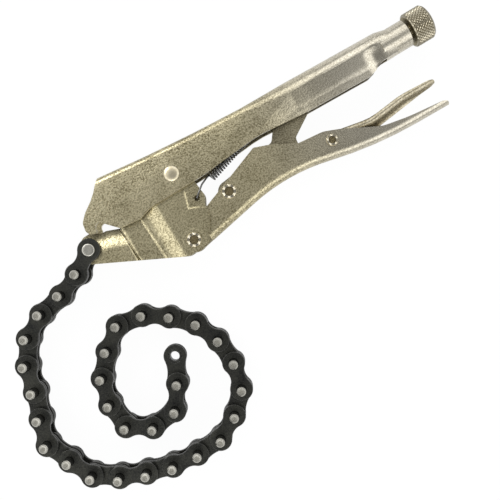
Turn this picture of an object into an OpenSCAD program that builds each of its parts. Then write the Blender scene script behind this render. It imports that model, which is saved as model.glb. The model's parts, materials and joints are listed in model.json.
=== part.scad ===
// Locking chain clamp: a locking plier body whose jaw carries a chain with long pins.
// The tool lies on its side. X runs along the adjusting screw towards its head, Y towards the back
// of the body, Z across the tool. The origin is the centre of the hook pocket on the middle plane.

/* [Chain] */
// Distance between neighbouring pins
chain_pitch = 15; // [13.5:0.5:16]
// Number of links from the jaw to the free end
link_count = 31; // [25:2:31]
// Radius of a plate's round ends
plate_r = 6.3; // [5.6:0.1:6.6]
// Thickness of a chain plate
plate_t = 2; // [1.6:0.1:2.2]
// Width of an outer plate at its waist
outer_waist = 8.2; // [7:0.1:10]
// Width of an inner plate at its waist
inner_waist = 9.9; // [8:0.1:11]
// Free width between two inner plates
inner_gap = 2; // [1.6:0.1:2.4]
// Radius of a chain pin
pin_r = 2.5; // [2:0.1:2.8]
// Full length of a chain pin
pin_len = 25; // [24:0.5:30]
// Bevel on a pin's ends
pin_bevel = 0.6; // [0.2:0.1:1]
// Wall of a bush
bush_wall = 1.05; // [0.8:0.05:1.3]

/* [Sheet metal] */
// Sheet of the body
body_t = 2.2; // [1.8:0.1:2.6]
// Sheet of the jaw
jaw_t = 2.2; // [1.8:0.1:2.4]
// Sheet of the lever
lever_t = 1.8; // [1.4:0.1:2]
// Outer half width of the lever
lever_half = 4.4; // [4.2:0.1:5]
// Outer half width of the body's round rear part
tube_r = 7.6; // [7.4:0.1:8]
// Outer half width of the rear part at its open edge, where it is pinched in
foot_half = 6.2; // [6:0.1:7]
// Bend radius along the back of the body's front part
front_bend = 3.4; // [3:0.1:4.5]
// Sheet of the release lever
release_t = 1.2; // [0.8:0.1:1.6]

/* [Screw] */
// Height of the screw axis above the hook pocket
screw_y = 6; // [5.6:0.1:6.4]
// Radius of the screw's shank
screw_r = 4.5; // [3.8:0.1:4.6]
// Radius of the collar that holds the screw
collar_r = 7.8; // [7:0.1:8.4]
// Radius of the knurled head
head_r = 10; // [9:0.1:10.5]
// Length of the knurled head without its dome
head_len = 11.2; // [9:0.2:14]
// Height of the head's dome
dome_h = 1.8; // [1.6:0.1:4]

/* [Pivots] */
// Shank radius of the body to jaw rivet
jaw_rivet_r = 3.2; // [2.6:0.1:3.6]
// Shank radius of the jaw to lever rivet
lever_rivet_r = 3; // [2.4:0.1:3.4]
// Shank radius of the lever to link rivet
link_rivet_r = 3; // [2.4:0.1:3.4]
// Shank radius of the release lever's rivet
release_rivet_r = 2.2; // [1.8:0.1:2.6]
// Shank radius of the chain's anchor rivet
anchor_rivet_r = 2.5; // [2:0.1:2.8]
// How far a rivet head reaches past its shank
head_lip = 1.1; // [0.8:0.1:1.4]
// Height of a rivet head
rivet_head_h = 1.2; // [0.8:0.1:1.6]

/* [Spring] */
// Wire thickness of the return spring
wire_d = 0.9; // [0.7:0.1:1]
// Mean radius of the coil
coil_r = 1.8; // [1.6:0.05:1.9]
// Distance between turns
coil_pitch = 1.6; // [1.5:0.05:1.8]
// Turns of the coil
coil_turns = 18; // [14:1:20]

/* [Clearances] */
// Radial play of a pivot
pivot_play = 0.05; // [0.02:0.01:0.1]
// Radial gap of a pressed pin or rivet in its hole
press_gap = 0.02; // [0.01:0.01:0.03]
// Side play between neighbouring plates
side_play = 0.15; // [0.1:0.01:0.3]
// Radial play of a chain pin in the hook pocket
hook_play = 0.1; // [0.05:0.01:0.2]
// Gap left at the link's free tip, where the closed linkage is opened
tip_gap = 1.6; // [1.4:0.1:2]

/* [Hidden] */
$fn = 48;
far = 100;

// Half widths of the stacked plates, from the middle plane outwards
inner_low = inner_gap / 2;
inner_high = inner_low + plate_t;
outer_low = inner_high + side_play;
outer_high = outer_low + plate_t;
anchor_low = outer_high + side_play;
anchor_high = anchor_low + plate_t;
nose_half = outer_high;
jaw_half = lever_half + side_play + jaw_t;
mid_half = (nose_half + jaw_half) / 2;
body_in = jaw_half + side_play;
body_half = body_in + body_t;
lever_in = lever_half - lever_t;
link_half = lever_in - side_play;
release_half = lever_in - 2 * side_play;

// Pivots in the side view
jaw_pivot = [48, 5];
lever_pivot = [40, -32];
link_pivot = [70, -19];
release_pivot = [133, -24];
anchor_pivot = [-12.2, -7.2];
tip_centre = [136, 5.5];
tip_r = 4.8;
link_eye_r = 6.2;
lever_eye_r = 7;

// Chain as laid: heading of the first link and the bend at each pin, in degrees
first_heading = -148;
link_bend = [-11, -8, 17, 27, 19, -5, 3, 40, 2, 30, 12, 6, 11, 7, 27,
             15, 32, 18, 18, 22, 12, 26, 45, 12, 26, 21, 51, 40, 47, 11];
bush_r = pin_r + pivot_play + bush_wall;

// Body: the hook, the back's hollow front stretch and the straight rear stretch
hook_r = pin_r + hook_play;
finger_at = [-3.9, 2.3];
finger_r = 4;
front_top = [12, 24];
back_r = 1100;
front_slope = -7.2;
taper_slope = -2.7;
rear_from = [126, 17.05];
rear_to = [183, 15.3];
rear_slope = atan2(rear_to[1] - rear_from[1], rear_to[0] - rear_from[0]);
body_end = [189, screw_y + collar_r];
body_depth = 36;
body_knee = 17;
collar_from = 182;
collar_end = 199.5;

// Screw
screw_tip_x = tip_centre[0] + tip_r + tip_gap;
head_x = collar_end + 1.5;
head_bevel = 0.8;
dome_r = head_r - head_bevel;
dome_sphere = (dome_r * dome_r + dome_h * dome_h) / (2 * dome_h);

// Lever: its back runs straight, along two arcs and straight again to the tail's end
waist_at = [100, -29.6];
waist_r = 110;
waist_slopes = [11, -14];
waist_lead = 31;
tail_r = 236;
tail_slope = -1;
lever_end = 199;
lever_knee = 15;

// Spring
spring_z = 4.2;
spring_slope = 17;
spring_start = [65.4, -7.7, spring_z];
spring_dir = [cos(spring_slope), sin(spring_slope), 0];
spring_side = [-sin(spring_slope), cos(spring_slope), 0];
spring_hole = [53, -13.3];
spring_hole_r = 1.6;
wire_r = wire_d / 2;
wire_gap = 0.3;
peg_r = 1;
curl_rings = 8;
wire_sides = 6;

function two_digits(i) = str(i < 10 ? "0" : "", i);
function link_name(i) = str("chain_link_", two_digits(i));
function pins_name(i) = str("chain_pins_", two_digits(i));
function unit(v) = v / norm(v);

// Points that round the corner b between a and c with radius r
function corner(a, b, c, r) =
    r == 0 ? [b] :
    let (
        u = unit(a - b),
        v = unit(c - b),
        half = acos(u * v) / 2,
        centre = b + unit(u + v) * r / sin(half),
        from = b + u * r / tan(half) - centre,
        turn = (u[0] * v[1] - u[1] * v[0] < 0 ? 1 : -1) * (180 - 2 * half),
        start = atan2(from[1], from[0]),
        steps = max(1, ceil(abs(turn) / 15))
    )
    [for (k = [0:steps]) centre + r * [cos(start + turn * k / steps), sin(start + turn * k / steps)]];

// Outline through corners [x, y, radius], listed anticlockwise
function rounded(list) =
    let (n = len(list), p = [for (q = list) [q[0], q[1]]])
    [for (i = [0:n - 1]) each corner(p[(i + n - 1) % n], p[i], p[(i + 1) % n], list[i][2])];

// Solid between half widths a and b on both sides of the middle plane
module both_sides(a, b) {
    for (side = [-1, 1])
        translate([0, 0, side > 0 ? a : -b])
            linear_extrude(b - a) children();
}

// Solid across the whole width
module across(half) {
    translate([0, 0, -half]) linear_extrude(2 * half) children();
}

// Round hole or shank through the tool, along Z
module through(at, r, half = far) {
    translate([at[0], at[1], -half]) cylinder(r = r, h = 2 * half);
}

// Plan outline, drawn with its first axis along X and its second along Z, swept along Y
module along_y(low, high) {
    translate([0, high, 0]) rotate([90, 0, 0]) linear_extrude(high - low) children();
}

// Bent sheet channel

bend_steps = 8;
least_bend = 0.4;

// Half section of a channel as [depth below the back, distance from the middle plane], from the
// open edge over the knee to the back
function half_section(half, bend, back, foot, knee, depth) = concat(
    [[depth, foot], [knee, foot]],
    [for (k = [0:bend_steps]) let (a = 90 * k / bend_steps)
        [back + bend * (1 - sin(a)), half - bend * (1 - cos(a))]]
);

// Ring of points at a station [back point, slope, half width, bend radius, half width at the foot];
// side is 1 if the channel opens upwards and -1 if it opens downwards; outer points come first
function channel_ring(s, sheet, side, knee, depth) =
    let (
        down = side * [-sin(s[1]), cos(s[1])],
        outer = half_section(s[2], s[3], 0, s[4], knee, depth),
        inner = half_section(s[2] - sheet, max(s[3] - sheet, least_bend), sheet, s[4] - sheet, knee, depth),
        n = len(outer)
    )
    [for (h = [outer, inner]) each concat(
        [for (q = h) [s[0][0] + q[0] * down[0], s[0][1] + q[0] * down[1], q[1]]],
        [for (i = [n - 1:-1:0]) [s[0][0] + h[i][0] * down[0], s[0][1] + h[i][0] * down[1], -h[i][1]]]
    )];

// Channel of sheet metal through a row of stations
module channel(stations, sheet, side, knee, depth) {
    rings = [for (s = stations) channel_ring(s, sheet, side, knee, depth)];
    m = len(rings[0]) / 2;
    n = len(rings);
    last = (n - 1) * 2 * m;
    loop = concat([for (i = [0:m - 1]) i], [for (i = [m - 1:-1:0]) m + i]);
    sides = [for (k = [0:n - 2]) for (i = [0:2 * m - 1])
        let (a = k * 2 * m + loop[i], b = k * 2 * m + loop[(i + 1) % (2 * m)])
        each [[a, b, b + 2 * m], [a, b + 2 * m, a + 2 * m]]];
    caps = [for (i = [0:m - 2]) each [
        [i, i + m, i + 1], [i + 1, i + m, i + m + 1],
        [last + i, last + i + 1, last + i + m], [last + i + 1, last + i + m + 1, last + i + m]]];
    faces = concat(sides, caps);
    polyhedron(flatten(rings), side > 0 ? [for (f = faces) [f[0], f[2], f[1]]] : faces);
}
function flatten(list) = [for (part = list) each part];

// Body

module hook_cut() {
    inside = 0.9 * hook_r;
    circle(hook_r);
    polygon([[-inside, 0], [-3.6, -2.4], [-3.6, -16], [9, -16], [9, -6.2], inside * [cos(40), sin(40)]]);
}

body_corners = [
    [-4.5, -1.6, 0], [9, -6.2, 0], [20.8, -7.6, 4], [29, -5, 10], [62, -4.8, 60], [99, -1.5, 40],
    [128, -3.8, 60], [168.6, -5, 1], [173, -3.8, 1.5], [175.8, -2, 0.6], [179.5, -1.2, 0],
    [body_end[0], -1.2, 0], [body_end[0], 40, 0], [front_top[0], 40, 0], [front_top[0], front_top[1], 0],
    [9.6, 21.4, 4], [4.4, 15.8, 20], [-3, 10.8, 8], [-7.2, 6.6, 4], [-7.9, 2.3, 0]
];

module body_outline() {
    difference() {
        union() {
            polygon(rounded(body_corners));
            translate(finger_at) circle(finger_r);
        }
        hook_cut();
    }
}

// Back of the body's front stretch at a given slope
back_centre = front_top + back_r * [-sin(front_slope), cos(front_slope)];
function back_at(slope) = back_centre + back_r * [sin(slope), -cos(slope)];
full_round = 0.2;

body_stations = concat(
    [for (s = [front_slope - 1.8, front_slope, -5.7, -4.2, taper_slope])
        [back_at(s), s, body_half, front_bend, body_half]],
    [for (p = [rear_from, rear_to, body_end])
        [p, rear_slope, tube_r, tube_r - full_round, foot_half]]
);

// Collar as a profile of radius along the screw axis
collar_bevel = 0.5;
module collar() {
    bore = screw_r + pivot_play;
    translate([0, screw_y, 0]) rotate([90, 0, 90])
        rotate_extrude()
            polygon([[bore, collar_from], [collar_r, collar_from], [collar_r, collar_end - collar_bevel],
                     [collar_r - collar_bevel, collar_end], [bore, collar_end]]);
}

module body() {
    color("tan") {
        difference() {
            intersection() {
                channel(body_stations, body_t, -1, body_knee, body_depth);
                across(body_half + 1) body_outline();
            }
            through(jaw_pivot, jaw_rivet_r + press_gap);
        }
        collar();
        translate([peg_at[0], peg_at[1], peg_low])
            cylinder(r = peg_r, h = body_in + body_t / 2 - peg_low);
    }
}

// Jaw

fold_from = [-15.5, -14.5];
fold_to = [33.6, -38.7];
fold_end = 29;
jaw_corners = [
    [fold_from[0], fold_from[1], 1.5], [fold_to[0], fold_to[1], 6], [46.6, -37, 6], [54.4, -24.6, 8],
    [54.9, -19, 3], [57.6, -14, 5], [57, -9.5, 4], [55.5, 7, 6], [41, 10, 6], [26, -6, 10], [8, -5.6, 2],
    [0.6, -2.75, 4], [-3, -2.75, 6], [-7, 0.6, 4], [-14, 0.4, 5], [-17.4, -7, 4]
];

// Plan of the jaw's outer faces, stepping out from the nose to the rear plate
module jaw_plan(inset) {
    n = nose_half - inset;
    m = mid_half - inset;
    w = jaw_half - inset;
    side = [[-30, n], [7.6, n], [9, m], [21, m], [24, 0.75 * m + 0.25 * w], [29, 0.25 * m + 0.75 * w],
            [32, w], [70, w]];
    polygon(concat([for (p = side) [p[0], -p[1]]], [for (i = [len(side) - 1:-1:0]) side[i]]));
}

// Space between the jaw's two sides, above the fold that joins them along the bottom
module jaw_hollow() {
    along = unit(fold_to - fold_from);
    inside = fold_from + jaw_t * [-along[1], along[0]];
    function fold_at(x) = inside + along * (x - inside[0]) / along[0];
    polygon([fold_at(-40), fold_at(fold_end), [fold_end + 1.5, -70], [90, -70], [90, 40], [-40, 40]]);
}

module jaw() {
    color("wheat")
    difference() {
        intersection() {
            across(jaw_half) polygon(rounded(jaw_corners));
            along_y(-far, far) jaw_plan(0);
        }
        intersection() {
            across(jaw_half) jaw_hollow();
            along_y(-far, far) jaw_plan(jaw_t);
        }
        through(jaw_pivot, jaw_rivet_r + pivot_play);
        through(lever_pivot, lever_rivet_r + press_gap);
        through(anchor_pivot, anchor_rivet_r + press_gap);
        translate([spring_hole[0], spring_hole[1], 0]) cylinder(r = spring_hole_r, h = far);
    }
}

// Lever

lever_front = [[40, -39], [48.3, -37.3], [48.3, -31.4], [56, -31], [56, -19.38], [37.5, -26.3]];
lever_corners = [
    [48.3, -60, 0], [lever_end, -60, 0], [lever_end, -38, 2], [lever_end - 3, -36.7, 2], [176, -34.6, 60],
    [160.5, -31.6, 20], [139.4, -20.8, 14], [131, -17.4, 12], [116, -15.9, 0.4], [102.5, -8.6, 3],
    [93.6, -5.3, 2], [37.5, -26.3, 0], [40, -32, 0]
];
waist_centre = waist_at - [0, waist_r];
function waist_point(s) = waist_centre + waist_r * [-sin(s), cos(s)];
tail_start = waist_point(waist_slopes[1]);
tail_centre = tail_start + tail_r * [-sin(waist_slopes[1]), cos(waist_slopes[1])];
function tail_point(s) = tail_centre + tail_r * [sin(s), -cos(s)];
tail_past = (lever_end + lever_t - tail_point(tail_slope)[0]) / cos(tail_slope);
tail_end = tail_point(tail_slope) + tail_past * [cos(tail_slope), sin(tail_slope)];
lead_start = waist_point(waist_slopes[0]) - waist_lead * [cos(waist_slopes[0]), sin(waist_slopes[0])];
lever_steps = 8;
tail_steps = 4;
function lever_station(at, slope) = [at, slope, lever_half, lever_half - full_round, lever_half];
function between(ends, k, n) = ends[0] + (ends[1] - ends[0]) * k / n;
lever_stations = concat(
    [lever_station(lead_start, waist_slopes[0])],
    [for (k = [0:lever_steps]) let (s = between(waist_slopes, k, lever_steps))
        lever_station(waist_point(s), s)],
    [for (k = [1:tail_steps]) let (s = between([waist_slopes[1], tail_slope], k, tail_steps))
        lever_station(tail_point(s), s)],
    [lever_station(tail_end, tail_slope)]
);

module lever() {
    color("burlywood")
    difference() {
        union() {
            intersection() {
                channel(lever_stations, lever_t, 1, lever_knee, far);
                across(lever_half + 1) polygon(rounded(lever_corners));
            }
            both_sides(lever_in, lever_half) polygon(lever_front);
            both_sides(lever_in, lever_half) translate(lever_pivot) circle(lever_eye_r);
        }
        through(lever_pivot, lever_rivet_r + pivot_play);
        through(link_pivot, link_rivet_r + press_gap);
        through(release_pivot, release_rivet_r + press_gap);
    }
}

// Toggle link

link_corners = [
    [70.6, -25.2, 0], [96, -23.4, 10], [109, -20, 4], [116.2, -16.2, 1], [116.6, -12.4, 3], [129, -4.6, 6],
    [138.6, 1.5, 0], [134.4, 10, 0], [112, 3, 5], [104, -7.6, 3], [96, -9.6, 6], [69, -12.9, 0]
];

module toggle_link() {
    color("tan")
    difference() {
        union() {
            across(link_half) polygon(rounded(link_corners));
            through(link_pivot, link_eye_r, link_half);
            through(tip_centre, tip_r, link_half);
        }
        through(link_pivot, link_rivet_r + pivot_play);
    }
}

// Release lever

release_corners = [
    [118, -21.4, 0.6], [124, -23.6, 3], [130, -27.4, 3], [138, -28.6, 6], [150, -31.2, 8], [161, -30.6, 8],
    [188, -27.2, 30], [195.5, -26.6, 2], [198.4, -25.8, 1], [198.3, -23.8, 1.2], [195.6, -22.8, 2],
    [178, -21.8, 30], [157.5, -24.2, 30], [142, -21.2, 8], [134, -19.4, 6], [124, -18.8, 3],
    [117.4, -19.4, 0.5]
];

// Trough inside the release lever, open towards the lever's back
release_hollow = [
    [121, -40], [189, -40], [189, -23.4], [178, -23], [157.5, -25.4], [142, -22.5], [134, -20.7],
    [124, -20.2], [121, -20.4]
];

module release_lever() {
    color("burlywood")
    difference() {
        across(release_half) polygon(rounded(release_corners));
        across(release_half - release_t) polygon(release_hollow);
        through(release_pivot, release_rivet_r + pivot_play);
    }
}

// Adjusting screw: a turned profile of radius along the screw axis

module adjusting_screw() {
    color("silver")
    translate([0, screw_y, 0]) rotate([90, 0, 90])
        rotate_extrude() {
            polygon([[0, screw_tip_x], [screw_r - head_bevel, screw_tip_x],
                     [screw_r, screw_tip_x + head_bevel], [screw_r, head_x],
                     [head_r - head_bevel, head_x], [head_r, head_x + head_bevel],
                     [head_r, head_x + head_len - head_bevel], [dome_r, head_x + head_len],
                     [0, head_x + head_len]]);
            intersection() {
                translate([0, head_x + head_len + dome_h - dome_sphere]) circle(dome_sphere);
                translate([0, head_x + head_len - 1]) square([dome_r, dome_h + 2]);
            }
        }
}

// Rivets: a shank with a round head on each side, seated on faces at plus and minus half

head_taper = 0.3;
module rivet(at, r, half) {
    wide = r + head_lip;
    edge = half + rivet_head_h / 2;
    top = half + rivet_head_h;
    color("silver")
    translate([at[0], at[1], 0])
        rotate_extrude()
            polygon([[0, -top], [r - head_taper, -top], [wide, -edge], [wide, -half], [r, -half],
                     [r, half], [wide, half], [wide, edge], [r - head_taper, top], [0, top]]);
}

// Return spring: one wire from the jaw's hole through the coil to the peg in the body

coil_end = spring_start + coil_turns * coil_pitch * spring_dir;
plate_top = jaw_half + wire_r + wire_gap;
hook_bend = 0.9;
hook_lead = 3;
hook_drop = 3;
peg_inset = wire_r + wire_gap + peg_r;
peg_at = coil_end + (hook_lead - peg_inset) * spring_dir + (coil_r - peg_inset) * spring_side;
peg_low = link_half + 2 * wire_gap;

// Point on the coil at turn t, and the direction away from the coil's axis there
function coil_out(t) = cos(360 * t) * spring_side + sin(360 * t) * [0, 0, 1];
function coil_point(t) = spring_start + t * coil_pitch * spring_dir + coil_r * coil_out(t);

front_hook = [
    [spring_hole[0], spring_hole[1], jaw_half - jaw_t],
    [spring_hole[0], spring_hole[1], jaw_half - 0.4],
    [spring_hole[0] + 0.7, spring_hole[1] + 0.6, plate_top],
    [spring_hole[0] + 4.4, spring_hole[1] + 3.6, plate_top],
    [spring_hole[0] + 6.2, spring_hole[1] + 5, plate_top - 0.8],
    spring_start - 2.4 * spring_dir + coil_r * spring_side
];
rear_hook = [
    coil_end + hook_lead / 2 * spring_dir + coil_r * spring_side,
    coil_end + (hook_lead - hook_bend) * spring_dir + coil_r * spring_side,
    coil_end + hook_lead * spring_dir + (coil_r - hook_bend) * spring_side,
    coil_end + hook_lead * spring_dir + (coil_r - hook_bend - hook_drop) * spring_side
];
curl_count = coil_turns * curl_rings;
wire_path = concat(front_hook, [for (k = [0:curl_count]) coil_point(k / curl_rings)], rear_hook);
wire_guide = concat(
    [for (p = front_hook) spring_side],
    [for (k = [0:curl_count]) coil_out(k / curl_rings)],
    [for (p = rear_hook) [0, 0, 1]]
);

// Ring k of a tube along a path, turned so that its first point faces the guide direction
function tangent(path, k) = unit(path[min(k + 1, len(path) - 1)] - path[max(k - 1, 0)]);
function square_to(v, t) = unit(v - (v * t) * t);
function wire_ring(path, guide, k) =
    let (t = tangent(path, k), a = square_to(guide[k], t), b = cross(t, a))
    [for (s = [0:wire_sides - 1])
        path[k] + wire_r * (cos(360 * s / wire_sides) * a + sin(360 * s / wire_sides) * b)];

module tube(path, guide) {
    n = len(path);
    last = (n - 1) * wire_sides;
    points = [for (k = [0:n - 1]) each wire_ring(path, guide, k)];
    sides = [for (k = [0:n - 2]) for (s = [0:wire_sides - 1])
        let (a = k * wire_sides + s, b = k * wire_sides + (s + 1) % wire_sides)
        each [[a, b, b + wire_sides], [a, b + wire_sides, a + wire_sides]]];
    caps = [for (s = [1:wire_sides - 2])
        each [[0, s + 1, s], [last, last + s, last + s + 1]]];
    polyhedron(points, concat(sides, caps));
}

// Least gap of the wire to itself, between points more than half a curl apart
apart = curl_rings / 2 + 1;
self_gap = min([for (i = [0:len(wire_path) - 1]) for (j = [i + apart:1:len(wire_path) - 1])
    norm(wire_path[i] - wire_path[j])]) - wire_d;
echo(return_spring_least_gap = self_gap);

module return_spring() {
    color("dimgray") tube(wire_path, wire_guide);
}

// Chain

// Heading of link i and the place where it starts
function heading(i) = i <= 1 ? first_heading : heading(i - 1) + link_bend[i - 2];
function joint_at(i) = i <= 1 ? anchor_pivot
    : joint_at(i - 1) + chain_pitch * [cos(heading(i - 1)), sin(heading(i - 1))];

// Waisted plate outline between two round ends
module plate_outline(waist) {
    sag = (chain_pitch * chain_pitch / 4 + waist * waist / 4 - plate_r * plate_r) / (2 * plate_r - waist);
    reach = chain_pitch / 2 * sag / (plate_r + sag);
    rise = (waist / 2 + sag) * plate_r / (plate_r + sag);
    for (x = [0, chain_pitch])
        translate([x, 0]) circle(plate_r);
    translate([chain_pitch / 2, 0])
        difference() {
            square([2 * reach, 2 * rise], center = true);
            for (side = [-1, 1])
                translate([0, side * (waist / 2 + sag)]) circle(sag);
        }
}

// Pair of plates with a hole at each end
module plates(low, high, waist, start_hole, end_hole) {
    both_sides(low, high)
        difference() {
            plate_outline(waist);
            circle(start_hole);
            translate([chain_pitch, 0]) circle(end_hole);
        }
}

// Places a link with its first pin at its own joint
module at_link(i) {
    at = joint_at(i);
    translate([at[0], at[1], 0]) rotate([0, 0, heading(i)]) children();
}

module anchor_link() {
    plates(anchor_low, anchor_high, outer_waist, anchor_rivet_r + pivot_play, pin_r + pivot_play);
}

module outer_link() {
    plates(outer_low, outer_high, outer_waist, pin_r + press_gap, pin_r + press_gap);
}

module inner_link() {
    plates(inner_low, inner_high, inner_waist, bush_r + press_gap, bush_r + press_gap);
    for (x = [0, chain_pitch])
        translate([x, 0, 0])
            difference() {
                cylinder(r = bush_r, h = 2 * inner_high, center = true);
                cylinder(r = pin_r + pivot_play, h = 2 * inner_high + 1, center = true);
            }
}

module chain_link(i) {
    color("dimgray") at_link(i) {
        if (i == 1) anchor_link();
        else if (i % 2 == 0) outer_link();
        else inner_link();
    }
}

module chain_pins(i) {
    high = pin_len / 2;
    color("silver") at_link(i)
        for (x = [0, chain_pitch])
            translate([x, 0, 0]) rotate_extrude()
                polygon([[0, -high], [pin_r - pin_bevel, -high], [pin_r, pin_bevel - high],
                         [pin_r, high - pin_bevel], [pin_r - pin_bevel, high], [0, high]]);
}

body();
jaw();
lever();
toggle_link();
release_lever();
adjusting_screw();
return_spring();
rivet(jaw_pivot, jaw_rivet_r, body_half);  // jaw_rivet
rivet(lever_pivot, lever_rivet_r, jaw_half);  // lever_rivet
rivet(link_pivot, link_rivet_r, lever_half);  // link_rivet
rivet(release_pivot, release_rivet_r, lever_half);  // release_rivet
rivet(anchor_pivot, anchor_rivet_r, anchor_high);  // anchor_rivet
for (i = [1:link_count]) chain_link(i);
for (i = [2:2:link_count]) chain_pins(i);
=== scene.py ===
"""Dressed model of a locking chain clamp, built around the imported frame.

The tool lies on its side. X runs along the adjusting screw towards its knurled head, Y towards the back of
the body and Z across the tool, towards the viewer. Sizes in the classes are millimetres.
"""
import json
import logging
import math
from dataclasses import dataclass, field
from enum import Enum
from typing import Any, Iterable, Sequence

import bmesh
import bpy
from mathutils import Matrix, Vector

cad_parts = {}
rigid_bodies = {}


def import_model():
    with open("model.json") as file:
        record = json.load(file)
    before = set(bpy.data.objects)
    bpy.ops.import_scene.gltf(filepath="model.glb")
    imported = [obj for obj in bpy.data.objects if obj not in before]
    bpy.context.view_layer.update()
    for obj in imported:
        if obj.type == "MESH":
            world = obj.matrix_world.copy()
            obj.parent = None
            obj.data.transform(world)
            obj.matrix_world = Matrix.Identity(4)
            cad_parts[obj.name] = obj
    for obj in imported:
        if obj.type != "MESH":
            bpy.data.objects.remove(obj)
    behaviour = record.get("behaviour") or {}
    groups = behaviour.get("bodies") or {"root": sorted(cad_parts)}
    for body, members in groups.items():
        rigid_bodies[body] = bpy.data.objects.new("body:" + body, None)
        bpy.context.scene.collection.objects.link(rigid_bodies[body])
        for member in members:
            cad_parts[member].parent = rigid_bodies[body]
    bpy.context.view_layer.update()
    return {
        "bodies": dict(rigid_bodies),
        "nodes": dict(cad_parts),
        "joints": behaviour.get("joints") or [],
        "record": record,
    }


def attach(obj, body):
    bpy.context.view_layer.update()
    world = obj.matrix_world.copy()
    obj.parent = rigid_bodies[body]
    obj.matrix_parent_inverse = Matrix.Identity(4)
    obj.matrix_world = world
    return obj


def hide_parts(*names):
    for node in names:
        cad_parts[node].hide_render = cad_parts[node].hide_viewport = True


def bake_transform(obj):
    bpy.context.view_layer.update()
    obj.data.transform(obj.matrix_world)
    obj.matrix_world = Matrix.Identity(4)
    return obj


Colour = tuple[float, float, float, float]
Frame = dict[str, Any]
Mesh = bmesh.types.BMesh
Point = tuple[float, float]
Socket = bpy.types.NodeSocket
Span = tuple[float, float]
Tree = bpy.types.NodeTree
Vert = bmesh.types.BMVert

LOG = logging.getLogger("chain_clamp")
MM = 0.001


def linear(code: str) -> Colour:
    """Turn an sRGB hex colour into linear light.

    Args:
        code: six hex digits, with or without a leading hash sign.

    Returns:
        Red, green, blue and an alpha of 1.
    """
    digits = code.lstrip("#")
    channels = [int(digits[i:i + 2], 16) / 255 for i in (0, 2, 4)]
    red, green, blue = (c / 12.92 if c <= 0.04045 else ((c + 0.055) / 1.055) ** 2.4 for c in channels)
    return red, green, blue, 1.0


def add_node(tree: Tree, kind: str, inputs: dict[Any, Any] | None = None, **settings: Any) -> bpy.types.Node:
    """Add one node, with its settings and what goes into its sockets.

    Args:
        tree: the node tree that takes the node.
        kind: the node's type name.
        inputs: socket name or number to a value, or to another node's output.
        settings: the node's own properties.

    Returns:
        The new node.
    """
    node = tree.nodes.new(kind)
    for name, value in settings.items():
        setattr(node, name, value)
    for key, value in (inputs or {}).items():
        if isinstance(value, Socket):
            tree.links.new(value, node.inputs[key])
        else:
            node.inputs[key].default_value = value
    return node


# Finishes


@dataclass(frozen=True)
class Mottle:
    """Irregular pattern: its detail, its roughness and the span of its values that is spread to 0 to 1."""

    detail: float
    roughness: float
    span: Span

    def pattern(self, tree: Tree, place: Socket, size: float) -> Socket:
        """Draw the pattern.

        Args:
            tree: the material's node tree.
            place: object coordinates.
            size: about how many millimetres its features are across.

        Returns:
            Output socket with the pattern, from 0 to 1.
        """
        inputs = {"Scale": 1 / (size * MM), "Detail": self.detail, "Roughness": self.roughness}
        noise = add_node(tree, "ShaderNodeTexNoise", {"Vector": place, **inputs})
        limits = {"Value": noise.outputs[0], 1: self.span[0], 2: self.span[1], 3: 0.0, 4: 1.0}
        return add_node(tree, "ShaderNodeMapRange", limits).outputs[0]


GRAIN = Mottle(2.0, 0.6, (0.36, 0.64))
CLOUD = Mottle(3.0, 0.55, (0.3, 0.7))


@dataclass(frozen=True)
class Ring:
    """Round mark pressed into a side plate, seen from the side."""

    centre: Point
    radius: float
    width: float
    depth: float

    def height(self, tree: Tree, place: Socket) -> Socket:
        """Height of the mark in millimetres.

        Args:
            tree: the material's node tree.
            place: object coordinates flattened to the side view.

        Returns:
            Output socket with the height.
        """
        middle = (self.centre[0] * MM, self.centre[1] * MM, 0)
        away = add_node(tree, "ShaderNodeVectorMath", {0: place, 1: middle}, operation="DISTANCE")
        sizes = {0: away.outputs["Value"], 1: self.radius * MM}
        off = add_node(tree, "ShaderNodeMath", sizes, operation="SUBTRACT")
        gap = add_node(tree, "ShaderNodeMath", {0: off.outputs[0]}, operation="ABSOLUTE")
        limits = {"Value": gap.outputs[0], 1: 0.0, 2: self.width * MM, 3: -self.depth, 4: 0.0}
        return add_node(tree, "ShaderNodeMapRange", limits, interpolation_type="SMOOTHSTEP").outputs[0]


@dataclass(frozen=True)
class Groove:
    """Line pressed into a side plate, seen from the side; a negative depth raises a ridge."""

    points: tuple[Point, ...]
    width: float
    depth: float

    def height(self, tree: Tree, place: Socket) -> Socket:
        """Height of the line in millimetres.

        Args:
            tree: the material's node tree.
            place: object coordinates flattened to the side view.

        Returns:
            Output socket with the height.
        """
        kind = "ShaderNodeVectorMath"
        gap = None
        for start, end in zip(self.points, self.points[1:]):
            begin = Vector((*start, 0)) * MM
            along = Vector((*end, 0)) * MM - begin
            rel = add_node(tree, kind, {0: place, 1: begin}, operation="SUBTRACT").outputs[0]
            pair = {0: rel, 1: along / along.length_squared}
            dot = add_node(tree, kind, pair, operation="DOT_PRODUCT").outputs["Value"]
            share = add_node(tree, "ShaderNodeClamp", {"Value": dot}).outputs[0]
            foot = add_node(tree, kind, {0: along, "Scale": share}, operation="SCALE").outputs[0]
            away = add_node(tree, kind, {0: rel, 1: foot}, operation="DISTANCE").outputs["Value"]
            if gap is not None:
                away = add_node(tree, "ShaderNodeMath", {0: gap, 1: away}, operation="MINIMUM").outputs[0]
            gap = away
        limits = {"Value": gap, 1: 0.0, 2: self.width * MM, 3: -self.depth, 4: 0.0}
        return add_node(tree, "ShaderNodeMapRange", limits, interpolation_type="SMOOTHSTEP").outputs[0]


@dataclass(frozen=True)
class PaintedShade:
    """Painted shade: a darker tone painted along a line, standing in for a dark reflection; the line's height
    is the share of that tone.
    """

    line: Groove
    tone: str


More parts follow.
